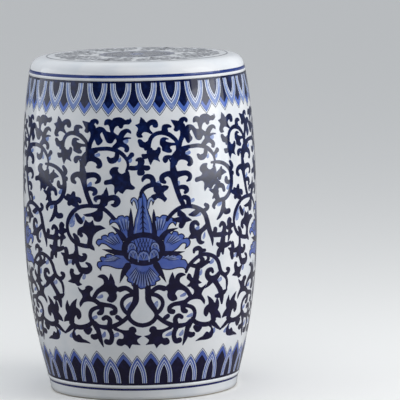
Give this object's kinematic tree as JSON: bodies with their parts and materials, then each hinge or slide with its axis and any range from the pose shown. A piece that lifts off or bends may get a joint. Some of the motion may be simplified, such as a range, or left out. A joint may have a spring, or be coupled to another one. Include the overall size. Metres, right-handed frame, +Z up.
{
  "type": "ceramic garden stool",
  "caption": "Drum-shaped hollow ceramic garden stool with a flat round seat, white glaze and a cobalt-blue underglaze lotus scroll between petal borders.",
  "frame": {"origin": "centre of the foot ring's base circle, on the ground", "axes": "+Z up along the drum's axis; -Y faces the viewer of the front, +X to the viewer's right"},
  "size_m": [0.3188, 0.3188, 0.457],
  "materials": {
    "white_glaze": "clear glossy glaze over white clay, faintly cool",
    "bare_clay": "unglazed fired white clay, matt",
    "cobalt_dark": "dark cobalt line under the glossy glaze",
    "cobalt_mid": "mid-blue cobalt wash under the glossy glaze",
    "cobalt_pale": "thin pale-blue cobalt wash under the glossy glaze"
  },
  "bodies": {
    "root": {"seat_cap": "white_glaze", "upper_drum": "white_glaze", "lower_drum": "white_glaze", "foot_ring": "white_glaze", "seat_slip_coil": "bare_clay", "waist_slip_band": "bare_clay", "foot_slip_coil": "bare_clay"}
  },
  "joints": []
}
